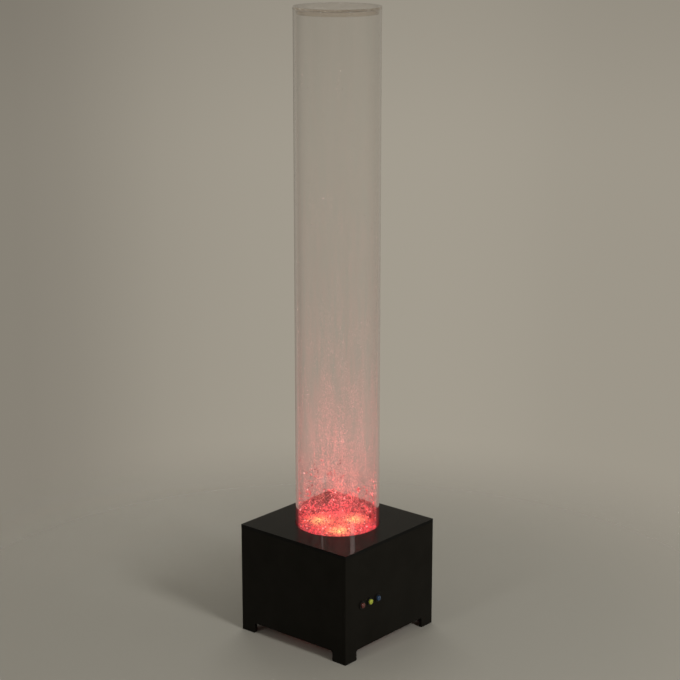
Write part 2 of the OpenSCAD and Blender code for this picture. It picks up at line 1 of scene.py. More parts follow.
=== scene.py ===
# %% [markdown]
# # A bubble tube lamp, dressed
# The lamp is a clear acrylic tube on a square black box. A fan in the box blows loose foamed
# beads up the tube, and red LEDs under them light the whole bed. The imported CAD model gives
# every piece at its real size, in metres. This script gives those pieces their finishes, and
# builds the pieces whose look needs more than a plain solid: the tube with its polished ends,
# the box and its fittings with eased edges, and the thousands of beads.

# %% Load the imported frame
import json
import math

import bmesh
import bpy
import numpy as np
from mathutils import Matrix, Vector


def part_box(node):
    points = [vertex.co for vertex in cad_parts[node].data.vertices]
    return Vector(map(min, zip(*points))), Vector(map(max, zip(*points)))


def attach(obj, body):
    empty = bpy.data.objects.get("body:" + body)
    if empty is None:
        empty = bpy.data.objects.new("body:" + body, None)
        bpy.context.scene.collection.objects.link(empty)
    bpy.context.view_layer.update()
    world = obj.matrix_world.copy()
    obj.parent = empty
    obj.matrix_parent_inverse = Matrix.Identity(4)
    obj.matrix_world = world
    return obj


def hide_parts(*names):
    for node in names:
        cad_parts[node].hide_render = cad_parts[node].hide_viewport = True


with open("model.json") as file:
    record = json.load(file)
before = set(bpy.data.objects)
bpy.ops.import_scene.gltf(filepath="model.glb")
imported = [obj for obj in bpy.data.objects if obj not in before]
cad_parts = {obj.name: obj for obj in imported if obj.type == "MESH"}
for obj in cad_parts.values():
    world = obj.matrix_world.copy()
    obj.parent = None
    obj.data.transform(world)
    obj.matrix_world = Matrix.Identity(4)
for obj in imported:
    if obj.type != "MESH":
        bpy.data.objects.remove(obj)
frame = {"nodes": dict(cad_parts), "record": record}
nodes = frame["nodes"]
slot_of = {part["node"]: part["material_slot"] for part in frame["record"]["subparts"]}
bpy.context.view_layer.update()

# %% [markdown]
# Everything that is built below hangs on a few places of the frame, so they are read from it
# once. A height or a radius that is worked out from a CAD piece stays right when that piece
# changes, and a copied number would not.

# %% Places read from the frame
BED_GAP = 0.0004        # the solid bed is this much smaller than the bore, all round
SAME_POINT = 1e-6       # corners closer than this are one corner


def radius_of(node):
    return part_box(node)[1].x


tube_low, tube_high = (corner.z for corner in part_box("acrylic_tube"))
bed_low, bed_top = (corner.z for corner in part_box("bead_bed"))
tube_radius = radius_of("acrylic_tube")
bed_radius = radius_of("bead_bed")
bore_radius = bed_radius + BED_GAP


def solid_centres(node):
    """Centres of the separate solids that one CAD node holds."""
    work = bmesh.new()
    work.from_mesh(nodes[node].data)
    bmesh.ops.remove_doubles(work, verts=work.verts, dist=SAME_POINT)
    left, centres = set(work.verts), []
    while left:
        front, island = [left.pop()], []
        while front:
            vertex = front.pop()
            island.append(vertex.co.copy())
            joined = {edge.other_vert(vertex) for edge in vertex.link_edges} & left
            left -= joined
            front += joined
        centres.append(sum(island, Vector((0, 0, 0))) / len(island))
    work.free()
    return sorted(centres, key=lambda centre: (round(centre.x, 5), round(centre.y, 5)))


led_centres = solid_centres("led_chips")
print("tube to", round(tube_high, 4), "bore", round(bore_radius, 4), "bed at", round(bed_top, 4))
print("LEDs at", [tuple(round(x, 4) for x in centre) for centre in led_centres])

# %% [markdown]
# ## Camera
# The photograph looks slightly down on one corner of the box from about three metres, through
# a long lens. The camera is placed by its aim point, its distance and two angles, because
# those four can be checked against the photograph one at a time.

# %% Camera
AIM = Vector((0.0029, -0.0034, 0.5363))
DISTANCE = 3.2145
AZIMUTH = math.radians(-49.63)
PITCH = math.radians(15.02)
LENS = 97.84


def direction(azimuth, elevation):
    flat = math.cos(elevation)
    return Vector((math.sin(azimuth) * flat, -math.cos(azimuth) * flat, math.sin(elevation)))


camera_data = bpy.data.cameras.new("photo_camera")
camera_data.lens = LENS
camera = bpy.data.objects.new("photo_camera", camera_data)
camera.location = AIM + DISTANCE * direction(AZIMUTH, PITCH)
camera.rotation_euler = (-direction(AZIMUTH, PITCH)).to_track_quat("-Z", "Y").to_euler()
bpy.context.scene.collection.objects.link(camera)
bpy.context.scene.camera = camera
bpy.context.scene.view_settings.view_transform = "Standard"
print("camera at", [round(x, 3) for x in camera.location])

# %% [markdown]
# ## Shader helpers
# Node trees get long when every node is placed by hand. A few short functions keep them
# readable. `feed` fills one input with a number, a colour or another node's output, and `add`
# adds a node and feeds its inputs, by name or, as i0, i1 and so on, by number. `calc` does a
# step of arithmetic, `blend_colours` mixes two colours, and `dimmed` multiplies a colour by a
# level. `new_group` makes an empty node group with named sockets, and `place` puts a group
# into a material.

# %% Shader helpers
FLOAT, COLOR, VECTOR = "NodeSocketFloat", "NodeSocketColor", "NodeSocketVector"


def feed(tree, socket, value):
    if isinstance(value, bpy.types.NodeSocket):
        tree.links.new(value, socket)
    elif hasattr(socket.default_value, "__len__") and len(socket.default_value) == 4:
        socket.default_value = (*value[:3], 1.0)
    else:
        socket.default_value = value


def add(tree, kind, settings=None, **inputs):
    node = tree.nodes.new("ShaderNode" + kind)
    for name, value in (settings or {}).items():
        setattr(node, name, value)
    for name, value in inputs.items():
        key = int(name[1:]) if name[0] == "i" and name[1:].isdigit() else name.replace("_", " ")
        feed(tree, node.inputs[key], value)
    return node


def calc(tree, operation, *values):
    node = add(tree, "Math", {"operation": operation})
    for socket, value in zip(node.inputs, values):
        feed(tree, socket, value)
    return node.outputs[0]


def blend_colours(tree, share, first, second, kind="MIX"):
    node = add(tree, "Mix", {"data_type": "RGBA", "blend_type": kind})
    feed(tree, node.inputs[0], share)
    feed(tree, node.inputs[6], first)
    feed(tree, node.inputs[7], second)
    return node.outputs[2]


def dimmed(tree, colour, level):
    grey = add(tree, "CombineColor", i0=level, i1=level, i2=level).outputs[0]
    return blend_colours(tree, 1.0, colour, grey, "MULTIPLY")


def new_group(name, inputs, outputs):
    group = bpy.data.node_groups.new(name, "ShaderNodeTree")
    for label, kind, value in inputs:
        socket = group.interface.new_socket(name=label, in_out="INPUT", socket_type=kind)
        socket.default_value = value
    for label, kind in outputs:
        group.interface.new_socket(name=label, in_out="OUTPUT", socket_type=kind)
    given = group.nodes.new("NodeGroupInput").outputs
    result = group.nodes.new("NodeGroupOutput").inputs
    return group, given, result


def place(tree, group, **inputs):
    node = tree.nodes.new("ShaderNodeGroup")
    node.node_tree = group
    for name, value in inputs.items():
        feed(tree, node.inputs[name.replace("_", " ")], value)
    return node.outputs


# %% [markdown]
# ## Shared effect: a worked skin
# No surface is one flat tone. Sheet plastic has faint clouds in its gloss, wood has grain, and
# moulded parts have a fine texture. One group covers them all: a noise that can be stretched
# along an axis mixes two colours, moves the roughness between two limits, and gives a height
# for bump.

# %% Node group: worked_skin
def make_worked_skin():
    group, given, result = new_group(
        "worked_skin",
        [("Color", COLOR, (0.5, 0.5, 0.5, 1)), ("Second Color", COLOR, (0.4, 0.4, 0.4, 1)),
         ("Scale", FLOAT, 60.0), ("Stretch", VECTOR, (1, 1, 1)), ("Smooth", FLOAT, 0.3),
         ("Rough", FLOAT, 0.5)],
        [("Color", COLOR), ("Roughness", FLOAT), ("Height", FLOAT)])
    where = add(group, "TexCoord").outputs["Object"]
    stretched = add(group, "VectorMath", {"operation": "MULTIPLY"}, i0=where, i1=given["Stretch"])
    clouds = add(group, "TexNoise", Vector=stretched.outputs[0], Scale=given["Scale"],
                 Detail=4.0, Roughness=0.6)
    fine = add(group, "TexNoise", Vector=stretched.outputs[0],
               Scale=calc(group, "MULTIPLY", given["Scale"], 7.0), Detail=2.0)
    share = add(group, "MapRange", Value=clouds.outputs[0], From_Min=0.3, From_Max=0.7)
    feed(group, result["Color"],
         blend_colours(group, share.outputs[0], given["Color"], given["Second Color"]))
    rough = add(group, "MapRange", Value=clouds.outputs[0], From_Min=0.25, From_Max=0.75,
                To_Min=given["Smooth"], To_Max=given["Rough"])
    feed(group, result["Roughness"], rough.outputs[0])
    feed(group, result["Height"], fine.outputs[0])
    return group


worked_skin = make_worked_skin()
print("group", worked_skin.name)

# %% [markdown]
# ## Shared effect: how the glow falls off
# The LEDs sit under the bed, so everything in the tube is red near the bed and hardly lit at
# the top. Tracing light through thousands of foamed beads would be slow and noisy. One group
# works the level of that painted light out from the height above the bed alone: it is 1 at the
# bed, a half at the half height, and the steepness says how sharply it drops there. The
# painted glow of the beads and the painted haze glow on the tube both use it, each with its
# own steepness.

# %% Node group: glow_fall
GLOW_HALF = 0.22        # height above the bed at which the glow is down to a half


def make_glow_fall():
    group, given, result = new_group(
        "glow_fall",
        [("Half Height", FLOAT, GLOW_HALF), ("Steepness", FLOAT, 2.5)],
        [("Level", FLOAT), ("Height", FLOAT)])
    z = add(group, "SeparateXYZ", i0=add(group, "TexCoord").outputs["Object"]).outputs[2]
    height = calc(group, "MAXIMUM", calc(group, "SUBTRACT", z, bed_top), 0.0)
    drop = calc(group, "POWER", calc(group, "DIVIDE", height, given["Half Height"]), given["Steepness"])
    feed(group, result["Level"], calc(group, "DIVIDE", 1.0, calc(group, "ADD", drop, 1.0)))
    feed(group, result["Height"], height)
    return group


glow_fall = make_glow_fall()
print("group", glow_fall.name)

# %% [markdown]
# ## Materials
# Each finish has one short function. Most are a worked skin feeding one Principled shader, so
# `skin_material` builds that pair. A number that is the same all over the piece is written on
# the shader's own socket.

# %% Material helpers
def new_material(name):
    material = bpy.data.materials.new(name)
    material.use_nodes = True
    tree = material.node_tree
    return material, tree, tree.nodes["Principled BSDF"]


def not_a_lamp(material):
    """A faint glow all over a big mesh isn't worth aiming light rays at."""
    material.cycles.emission_sampling = "NONE"


def skin_material(name, color, second, scale, smooth, rough, bump=0.0, stretch=(1, 1, 1), depth=0.0002,
                  **plain):
    material, tree, shader = new_material(name)
    skin = place(tree, worked_skin, Color=color, Second_Color=second, Scale=scale, Stretch=stretch,
                 Smooth=smooth, Rough=rough)
    feed(tree, shader.inputs["Base Color"], skin["Color"])
    feed(tree, shader.inputs["Roughness"], skin["Roughness"])
    if bump:
        relief = add(tree, "Bump", Strength=bump, Distance=depth, Height=skin["Height"])
        feed(tree, shader.inputs["Normal"], relief.outputs[0])
    for label, value in plain.items():
        feed(tree, shader.inputs[label.replace("_", " ")], value)
    return material


# %% [markdown]
# The box is satin black sheet, very slightly warm, and the deck is the same sheet polished.
# Both hold back most of the light that a bare black plastic would mirror, as a coated sheet
# under a polarised studio lamp does, so their index of refraction is set low. The posts and
# battens inside are black stained wood, whose grain is drawn out along Y, as the battens lie.
# The feet stand on rubber pads.

# %% Box finishes
def satin_black_panel():
    return skin_material("satin_black_panel", (0.0064, 0.0058, 0.0044), (0.0084, 0.0076, 0.0060), 26,
                         0.16, 0.28, bump=0.05, depth=0.00006, IOR=1.15)


def gloss_black_deck():
    return skin_material("gloss_black_deck", (0.004, 0.004, 0.0036), (0.006, 0.006, 0.0055), 18,
                         0.02, 0.06, IOR=1.15)


def black_wood():
    return skin_material("black_wood", (0.016, 0.013, 0.010), (0.030, 0.024, 0.018), 90, 0.55, 0.8,
                         bump=0.3, stretch=(1, 0.12, 1))


def black_rubber():
    return skin_material("black_rubber", (0.018, 0.018, 0.018), (0.030, 0.029, 0.028), 220, 0.7, 0.9,
                         bump=0.2)


# %% [markdown]
# The bought-in parts inside have the colours and finishes of their kind: zinc-plated screws,
# a brass bush, copper windings, moulded black plastic, a white circuit board under the LEDs
# and a green one beside them.

# %% Hardware finishes
def screw_steel():
    return skin_material("screw_steel", (0.60, 0.61, 0.63), (0.46, 0.47, 0.49), 300, 0.22, 0.42, bump=0.1,
                         Metallic=1.0)


def brass_fitting():
    return skin_material("brass_fitting", (0.72, 0.53, 0.24), (0.58, 0.41, 0.17), 240, 0.2, 0.38, bump=0.08,
                         Metallic=1.0)


def copper_winding():
    return skin_material("copper_winding", (0.62, 0.28, 0.12), (0.40, 0.16, 0.07), 90, 0.25, 0.45, bump=0.6,
                         stretch=(1, 1, 14), Metallic=1.0)


def black_moulded():
    return skin_material("black_moulded", (0.007, 0.007, 0.007), (0.011, 0.011, 0.011), 130, 0.3, 0.5,
                         bump=0.12, IOR=1.25)


def white_nylon():
    return skin_material("white_nylon", (0.76, 0.75, 0.71), (0.68, 0.67, 0.62), 120, 0.4, 0.6, bump=0.1)


def white_circuit_board():
    return skin_material("white_circuit_board", (0.78, 0.78, 0.74), (0.70, 0.70, 0.66), 160, 0.25, 0.4,
                         bump=0.05)


def green_circuit_board():
    return skin_material("green_circuit_board", (0.02, 0.13, 0.05), (0.03, 0.19, 0.07), 180, 0.2, 0.4,
                         bump=0.25, stretch=(1, 0.2, 1), Coat_Weight=0.4)


def lead_insulation():
    return skin_material("lead_insulation", (0.045, 0.044, 0.043), (0.07, 0.068, 0.066), 160, 0.4, 0.6,
                         bump=0.1)


# %% [markdown]
# The three caps and the rocker are glossy moulded plastic. The photograph shows a dull red,
# a greenish yellow and a deep blue, each with one small highlight.

# %% Cap finishes
def glossy_cap(name, color, darker):
    return skin_material(name, color, darker, 140, 0.12, 0.26, bump=0.04, Coat_Weight=0.3,
                         Coat_Roughness=0.08)


def red_cap():
    return glossy_cap("red_cap", (0.11, 0.026, 0.020), (0.085, 0.020, 0.016))


def yellow_cap():
    return glossy_cap("yellow_cap", (0.38, 0.44, 0.045), (0.32, 0.38, 0.04))


def blue_cap():
    return glossy_cap("blue_cap", (0.014, 0.044, 0.105), (0.011, 0.034, 0.085))


def red_paddle():
    return glossy_cap("red_paddle", (0.42, 0.03, 0.02), (0.33, 0.022, 0.016))


# %% [markdown]
# The LEDs are the one real source of light in the lamp. Their chips are yellow with phosphor
# and glow orange here, under lenses with a faint pink tint. They hide under the bed, so a
# plain strength is enough.

# %% LED finishes
LED_COLOUR, LED_STRENGTH = (1.0, 0.35, 0.12, 1.0), 3.0
ACRYLIC_IOR = 1.49


def led_yellow():
    return skin_material("led_yellow", (0.85, 0.65, 0.2), (0.8, 0.5, 0.12), 400, 0.3, 0.5,
                         Emission_Color=LED_COLOUR, Emission_Strength=LED_STRENGTH)


def lens_clear():
    return skin_material("lens_clear", (1.0, 0.86, 0.84), (1.0, 0.8, 0.78), 200, 0.02, 0.06,
                         Transmission_Weight=1.0, IOR=ACRYLIC_IOR)


# %% [markdown]
# The mesh floor is a fine woven cloth. Two sets of bands at right angles, one along X and one
# along Y, give the threads of a plain weave, and where both are high the threads cross.

# %% Mesh cloth
DARK_THREAD, LIGHT_THREAD = (0.22, 0.21, 0.2), (0.7, 0.69, 0.66)


def mesh_cloth():
    material, tree, shader = new_material("mesh_cloth")
    where = add(tree, "TexCoord").outputs["Object"]
    threads = [add(tree, "TexWave", {"wave_type": "BANDS", "bands_direction": axis}, Vector=where,
                   Scale=520.0, Distortion=0.4).outputs["Fac"] for axis in "XY"]
    crossing = calc(tree, "MAXIMUM", *threads)
    feed(tree, shader.inputs["Base Color"], blend_colours(tree, crossing, DARK_THREAD, LIGHT_THREAD))
    relief = add(tree, "Bump", Strength=0.6, Distance=0.0002, Height=crossing)
    feed(tree, shader.inputs["Normal"], relief.outputs[0])
    shader.inputs["Roughness"].default_value = 0.7
    return material


# %% [markdown]
# Acrylic is clear, with an index of refraction of 1.49, and takes away a little of the light
# that passes it. Faint streaks of roughness, drawn out along the tube, stand for the rub marks
# of the beads. The inside of the tube carries a painted red glow: an emission that stands for
# the red haze of fine beads lit by the LEDs, strongest near the bed and broken into streaks
# drawn out along the tube. A mask keeps that painted glow off the outer wall: it is 1 only
# where the surface is nearer to the axis than the middle of the wall. Glass keeps a plain
# metallic and transmission weight.

# %% Clear acrylic
PAINTED_HAZE_GLOW, PAINTED_HAZE_RED = 0.095, (1.0, 0.07, 0.09)
PAINTED_HAZE_STEEPNESS = 2.4
STREAK_SCALE, STREAK_STRETCH = 150.0, (1, 1, 0.12)


def inner_wall(tree, where):
    flat = add(tree, "VectorMath", {"operation": "MULTIPLY"}, i0=where, i1=(1, 1, 0)).outputs[0]
    reach = add(tree, "VectorMath", {"operation": "LENGTH"}, i0=flat).outputs["Value"]
    return calc(tree, "LESS_THAN", reach, (bore_radius + tube_radius) / 2)


def painted_haze_streaks(tree, where):
    drawn_out = add(tree, "VectorMath", {"operation": "MULTIPLY"}, i0=where, i1=STREAK_STRETCH)
    streaks = add(tree, "TexNoise", Vector=drawn_out.outputs[0], Scale=STREAK_SCALE, Detail=2.0)
    return add(tree, "MapRange", Value=streaks.outputs[0], From_Min=0.35, From_Max=0.65,
               To_Min=0.45, To_Max=1.55).outputs[0]


def clear_acrylic():
    material = skin_material("clear_acrylic", (0.958, 0.961, 0.955), (0.912, 0.917, 0.908), 14, 0.0, 0.012,
                             stretch=(1, 1, 0.06), Metallic=0.0, Transmission_Weight=1.0,
                             IOR=ACRYLIC_IOR, Emission_Strength=1.0)
    tree = material.node_tree
    where = add(tree, "TexCoord").outputs["Object"]
    fall = place(tree, glow_fall, Half_Height=GLOW_HALF, Steepness=PAINTED_HAZE_STEEPNESS)
    # painted haze glow: its level falls with height and is broken into streaks
    level = calc(tree, "MULTIPLY", fall["Level"], painted_haze_streaks(tree, where))
    level = calc(tree, "MULTIPLY", calc(tree, "MULTIPLY", level, inner_wall(tree, where)), PAINTED_HAZE_GLOW)
    feed(tree, tree.nodes["Principled BSDF"].inputs["Emission Color"], dimmed(tree, PAINTED_HAZE_RED, level))
    not_a_lamp(material)
    return material


# %% [markdown]
# The lid is a disc and a locating ring of acrylic with a faint warm tint. Sawn and glued, they
# scatter light, so they are a little rougher than the tube.

# %% Tinted acrylic
def tinted_acrylic():
    return skin_material("tinted_acrylic", (0.86, 0.80, 0.74), (0.80, 0.74, 0.67), 60, 0.03, 0.12,
                         Metallic=0.0, Transmission_Weight=1.0, IOR=ACRYLIC_IOR)


# %% [markdown]
# An LED under the bed shows on the beads as a painted pool of orange light with a bright
# middle. It is the sum of two bell curves round the LED's place, a wide one and a narrow one,
# and it fades over the first centimetres above the bed.

# %% Painted light pools of the LEDs
WIDE_SPOT, WIDE_SHARE = 0.028, 0.34         # radius and strength of the wide bell curve
NARROW_SPOT, NARROW_SHARE = 0.016, 0.65
POOL_FADE_HEIGHT = 0.012


def bell(tree, value, width):
    return calc(tree, "EXPONENT", calc(tree, "MULTIPLY", value, -1 / width))


def led_light_pool(tree, x, y, height):
    light_pool = 0.0
    for centre in led_centres:
        off_x = calc(tree, "SUBTRACT", x, centre.x)
        off_y = calc(tree, "SUBTRACT", y, centre.y)
        off = calc(tree, "ADD", calc(tree, "MULTIPLY", off_x, off_x), calc(tree, "MULTIPLY", off_y, off_y))
        wide = calc(tree, "MULTIPLY", bell(tree, off, WIDE_SPOT ** 2), WIDE_SHARE)
        narrow = calc(tree, "MULTIPLY", bell(tree, off, NARROW_SPOT ** 2), NARROW_SHARE)
        light_pool = calc(tree, "ADD", light_pool, calc(tree, "ADD", wide, narrow))
    return calc(tree, "MULTIPLY", light_pool, bell(tree, height, POOL_FADE_HEIGHT))


# %% [markdown]
# The beads are foamed plastic, and their light is painted: each one carries an emission, a
# painted glow that stands for the red LED light passing through it, and right above an LED it
# turns orange. No two beads glow alike, so every bead mesh below carries two numbers for each
# bead: `glow` sets how bright its painted glow is and also picks its base colour between a
# painted shaded tone and a painted lit tone, and `pale` picks the few beads that stay pinkish
# white. In the bed the base colour is a painted deep red, which stands for the red light and
# the shade down there, and it turns to the painted lit or shaded tone a few centimetres above.

# %% Bead foam
BEAD = 0.0015                               # radius of a bead in the bed
RED_GLOW, HOT_GLOW = (1.0, 0.045, 0.075), (1.0, 0.50, 0.17)
# painted deep red of the bed, a base colour standing for red light and shade there
PAINTED_BED_RED, PALE_FOAM = (0.20, 0.045, 0.045), (0.72, 0.52, 0.50)
# painted shaded and painted lit tones of the foam, picked by each bead's glow
PAINTED_SHADE_FOAM, PAINTED_LIT_FOAM = (0.07, 0.05, 0.045), (0.57, 0.49, 0.42)
COOL_SHARE = 0.9                            # glow of a bead far from any LED
CLOUD_SCALE = 24.0
BEAD_STEEPNESS = 2.5


def pale_beads():
    material, tree, shader = new_material("pale_beads")
    where = add(tree, "TexCoord").outputs["Object"]
    x, y = add(tree, "SeparateXYZ", i0=where).outputs[:2]
    fall = place(tree, glow_fall, Half_Height=GLOW_HALF, Steepness=BEAD_STEEPNESS)
    light_pool = led_light_pool(tree, x, y, fall["Height"])
    glow = add(tree, "Attribute", {"attribute_name": "glow"}).outputs["Fac"]
    pale = add(tree, "Attribute", {"attribute_name": "pale"}).outputs["Fac"]
    clouds = add(tree, "TexNoise", Vector=where, Scale=CLOUD_SCALE, Detail=1.0).outputs[0]
    strength = add(tree, "MapRange", {"clamp": False}, Value=glow, To_Min=0.05, To_Max=1.2).outputs[0]
    uneven = add(tree, "MapRange", Value=clouds, From_Min=0.35, From_Max=0.65, To_Min=0.8, To_Max=1.2)
    strength = calc(tree, "MULTIPLY", calc(tree, "MULTIPLY", strength, uneven.outputs[0]), fall["Level"])
    strength = calc(tree, "MULTIPLY", strength, calc(tree, "ADD", COOL_SHARE, light_pool))
    # painted orange light over each LED, mixed into the glow colour by its light pool
    tone = blend_colours(tree, light_pool, RED_GLOW, HOT_GLOW)
    # the beads' painted glow: an emission standing for the LED light passing through them
    feed(tree, shader.inputs["Emission Color"], dimmed(tree, tone, strength))
    high = add(tree, "MapRange", Value=fall["Height"], From_Min=0.01, From_Max=0.08).outputs[0]
    # painted lit or shaded foam tone, picked by each bead's glow
    plain = blend_colours(tree, glow, PAINTED_SHADE_FOAM, PAINTED_LIT_FOAM)
    # painted deep red low in the bed, the painted lit or shaded tone higher up
    foam = blend_colours(tree, high, PAINTED_BED_RED, plain)
    feed(tree, shader.inputs["Base Color"], blend_colours(tree, pale, foam, PALE_FOAM))
    shader.inputs["Emission Strength"].default_value = 1.0
    shader.inputs["Roughness"].default_value = 0.6
    not_a_lamp(material)
    return material


# %% [markdown]
# Every CAD piece now takes the finish that the record names for it. A piece that is replaced
# further down is dressed here too, which does no harm.

# %% Dress the CAD pieces
FINISHES = [satin_black_panel, gloss_black_deck, black_wood, black_rubber, screw_steel, brass_fitting,
            copper_winding, black_moulded, white_nylon, white_circuit_board, green_circuit_board,
            lead_insulation, red_cap, yellow_cap, blue_cap, red_paddle, led_yellow, lens_clear, mesh_cloth,
            clear_acrylic, tinted_acrylic, pale_beads]
materials = {finish.__name__: finish() for finish in FINISHES}
for name, node in nodes.items():
    node.data.materials.clear()
    node.data.materials.append(materials[slot_of[name]])
print(len(nodes), "CAD pieces in", len(materials), "finishes")

# %% [markdown]
# ## Mesh helpers
# A machined edge is never perfectly sharp: it is eased by a fraction of a millimetre, and that
# is where it catches light. `eased` copies a CAD solid, joins its triangles into whole faces
# and rounds its edges. `turned` revolves a profile, for pieces that a lathe or a die makes
# round. `show` puts a finished mesh into the scene on the body that carries it.

# %% Mesh helpers
FLAT_WITHIN, SHARP_FROM = math.radians(0.5), math.radians(40)


def show(name, mesh, slot, body, *replaced):
    piece = bpy.data.objects.new(name, mesh)
    bpy.context.scene.collection.objects.link(piece)
    mesh.materials.clear()
    mesh.materials.append(materials[slot])
    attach(piece, body)
    if replaced:
        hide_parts(*replaced)
    return piece


def smooth_by_angle(mesh, degrees=32):
    mesh.polygons.foreach_set("use_smooth", [True] * len(mesh.polygons))
    mesh.set_sharp_from_angle(angle=math.radians(degrees))


def eased(node, body, width):
    name = node + "_eased"
    work = bmesh.new()
    work.from_mesh(nodes[node].data)
    bmesh.ops.remove_doubles(work, verts=work.verts, dist=SAME_POINT)
    bmesh.ops.dissolve_limit(work, angle_limit=FLAT_WITHIN, verts=work.verts, edges=work.edges)
    sharp = [edge for edge in work.edges
             if len(edge.link_faces) == 2 and edge.calc_face_angle() > SHARP_FROM]
    bmesh.ops.bevel(work, geom=sharp, offset=width, segments=2, profile=0.6, affect="EDGES",
                    clamp_overlap=True)
    bmesh.ops.recalc_face_normals(work, faces=work.faces)
    mesh = bpy.data.meshes.new(name)
    work.to_mesh(mesh)
    work.free()
    smooth_by_angle(mesh)
    piece = show(name, mesh, slot_of[node], body, node)
    weighted = piece.modifiers.new("flat_faces_stay_flat", "WEIGHTED_NORMAL")
    weighted.keep_sharp = True
    return piece


def turned(name, profile, segments=192):
    points = np.array(profile)
    angles = np.arange(segments) * 2 * math.pi / segments
    rings = np.stack([np.outer(np.cos(angles), points[:, 0]), np.outer(np.sin(angles), points[:, 0]),
                      np.tile(points[:, 1], (segments, 1))], axis=2).reshape(-1, 3)
    count = len(points)
    faces = [(i * count + k, j * count + k, j * count + m, i * count + m)
             for i in range(segments) for j in [(i + 1) % segments]
             for k in range(count) for m in [(k + 1) % count]]
    mesh = bpy.data.meshes.new(name)
    mesh.from_pydata(rings.tolist(), [], faces)
    return mesh


def round_corner(x, z, turn_x, turn_z, r, steps=3):
    """Points of a rounded profile corner at (x, z), whose centre lies towards (turn_x, turn_z)."""
    quarter = [math.pi / 2 * k / steps for k in range(steps + 1)]
    return [(x + turn_x * r - turn_x * r * math.sin(a), z + turn_z * r - turn_z * r * math.cos(a))
            for a in quarter]


# %% [markdown]
# ## Tube
# The tube is cut from stock acrylic tube and its ends are flame-polished, which rounds their
# edges. Its profile is turned in 192 segments, which keep it round in the refractions, where
# flats would show as vertical bands. The lid keeps its CAD shape. The lamps of the scene shine
# through both without a shadow, since clear acrylic casts hardly any.

# %% Acrylic tube
END_ROUND = 0.0006


def ring_profile(r_in, r_out, low, high, r):
    return (round_corner(r_out, low, -1, 1, r)[::-1] + round_corner(r_out, high, -1, -1, r)
            + round_corner(r_in, high, 1, -1, r)[::-1] + round_corner(r_in, low, 1, 1, r))


tube_profile = ring_profile(bore_radius, tube_radius, tube_low, tube_high, END_ROUND)
tube_mesh = turned("acrylic_tube_polished", tube_profile)
smooth_by_angle(tube_mesh, 50)
tube = show("acrylic_tube_polished", tube_mesh, "clear_acrylic", "base", "acrylic_tube")
for clear_piece in (tube, nodes["lid_disc"], nodes["lid_ring"]):
    clear_piece.visible_shadow = False
print("tube", len(tube_mesh.polygons), "faces")

# %% [markdown]
# ## Box, buttons and back fittings
# The sheets of the box keep their CAD shape with eased edges. So do the small moulded parts,
# whose edges are rounded less.

# %% Eased pieces
EASED = {       # width of the eased edge in metres, and the pieces that have it
    0.0004: ["front_panel", "back_panel", "left_panel", "right_panel", "deck_panel"],
    0.00025: ["red_button_body", "yellow_button_body", "blue_button_body", "inlet_jack", "switch_frame"],
    0.00015: ["switch_paddle"],
}
bodies = frame["record"]["behaviour"]["bodies"]
body_of = {node: body for body, members in bodies.items() for node in members}
for width, members in EASED.items():
    for node in members:
        piece = eased(node, body_of[node], width)
        print(piece.name, len(piece.data.polygons))

# %% [markdown]
# ## Beads
# A bead is an icosahedron, turned at random, about 3 mm across, and the finest specks are
# octahedra. At that size more faces would never show. Thousands of them are joined into one
# mesh with array arithmetic, because one object each would be slow. Each bead also gets its
# `glow` and `pale` numbers. All draws come from one seeded generator, so the bed is the same
# in every render.

# %% Bead mesh
PALE_SHARE = 0.03
rng = np.random.default_rng(20)
GOLDEN = (1 + math.sqrt(5)) / 2


def shape_of(points):
    """Corners and triangles of the closed shape around some points at distance 1."""
    hull = bmesh.new()
    for point in points:
        hull.verts.new(point)
    bmesh.ops.convex_hull(hull, input=hull.verts)
    hull.verts.index_update()
    corners = np.array([vertex.co for vertex in hull.verts])
    triangles = np.array([[vertex.index for vertex in face.verts] for face in hull.faces])
    hull.free()
    return corners, triangles


edge_length = math.hypot(1, GOLDEN)
ROUND_BEAD = shape_of([np.roll((0, a / edge_length, b * GOLDEN / edge_length), turn)
                       for turn in range(3) for a in (-1, 1) for b in (-1, 1)])
SPECK = shape_of([np.roll((0, 0, a), turn) for turn in range(3) for a in (-1, 1)])


def random_turns(count):
    q = rng.normal(size=(count, 4))
    w, x, y, z = (q / np.linalg.norm(q, axis=1, keepdims=True)).T
    return np.stack([
        np.stack([1 - 2 * (y * y + z * z), 2 * (x * y - z * w), 2 * (x * z + y * w)], 1),
        np.stack([2 * (x * y + z * w), 1 - 2 * (x * x + z * z), 2 * (y * z - x * w)], 1),
        np.stack([2 * (x * z - y * w), 2 * (y * z + x * w), 1 - 2 * (x * x + y * y)], 1)], 1)


def bead_mesh(name, centres, radii, glow, shape=ROUND_BEAD, upright=1.0):
    """One mesh of beads. upright stretches each bead along Z by that factor."""
    corners, triangles = shape
    count = len(centres)
    points = np.einsum("nij,pj->npi", random_turns(count), corners) * radii[:, None, None]
    points[:, :, 2] *= np.broadcast_to(upright, count)[:, None]
    points += centres[:, None, :]
    faces = triangles[None] + (np.arange(count) * len(corners))[:, None, None]
    mesh = bpy.data.meshes.new(name)
    mesh.from_pydata(points.reshape(-1, 3).tolist(), [], faces.reshape(-1, 3).tolist())
    mesh.polygons.foreach_set("use_smooth", [True] * len(mesh.polygons))
    for label, values in (("glow", glow), ("pale", rng.random(count) < PALE_SHARE)):
        layer = mesh.attributes.new(label, "FLOAT", "POINT")
        layer.data.foreach_set("value", np.repeat(values, len(corners)).astype(np.float32))
    return mesh


# %% [markdown]
# The bed is a full layer of beads on a hexagonal grid, each pushed a little off its place and
# up or down, with a second, broken layer on top. Under them lies a lumpy sheet of the same
# foam, which stands for the beads further down, so that a gap between two beads shows deep red
# and not the mesh floor.

